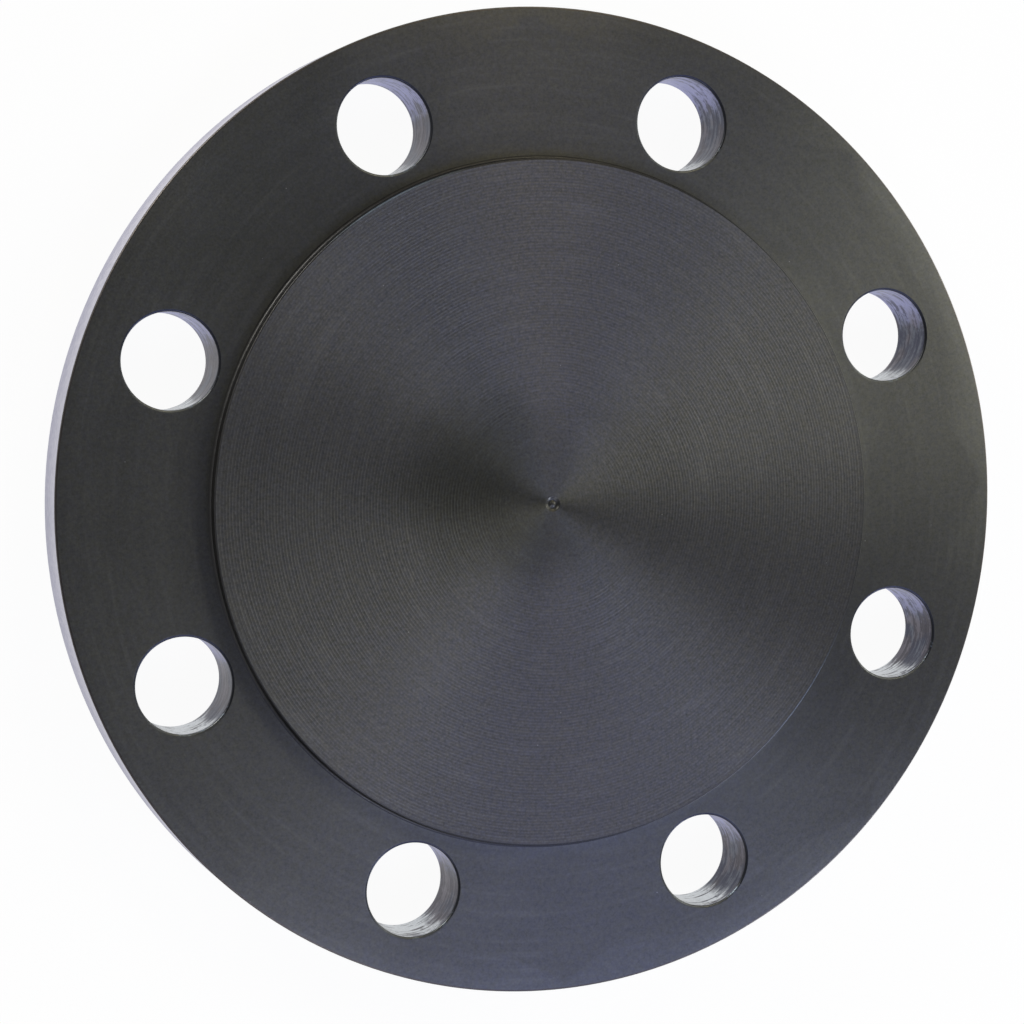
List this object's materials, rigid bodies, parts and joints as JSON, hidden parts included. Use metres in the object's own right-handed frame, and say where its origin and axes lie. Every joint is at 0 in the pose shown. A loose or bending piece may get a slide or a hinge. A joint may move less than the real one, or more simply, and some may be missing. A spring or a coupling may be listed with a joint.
{
  "type": "blind flange",
  "caption": "Round steel blind flange with a raised gasket face, a bolt ring drilled for through bolts, and no bore, used to close a flanged pipe end.",
  "frame": {"origin": "centre of the flat back face, which the flange lies on", "axes": "+Z is the flange's axis, from the back face out of the raised face; +X and +Y pass midway between two bolt holes"},
  "size_m": [0.23, 0.23, 0.018],
  "materials": {
    "turned_steel": "dark oiled carbon steel, turned faces with a spiral gasket finish, brighter rim and bolt holes"
  },
  "bodies": {
    "root": {"blind_flange": "turned_steel"}
  },
  "joints": []
}
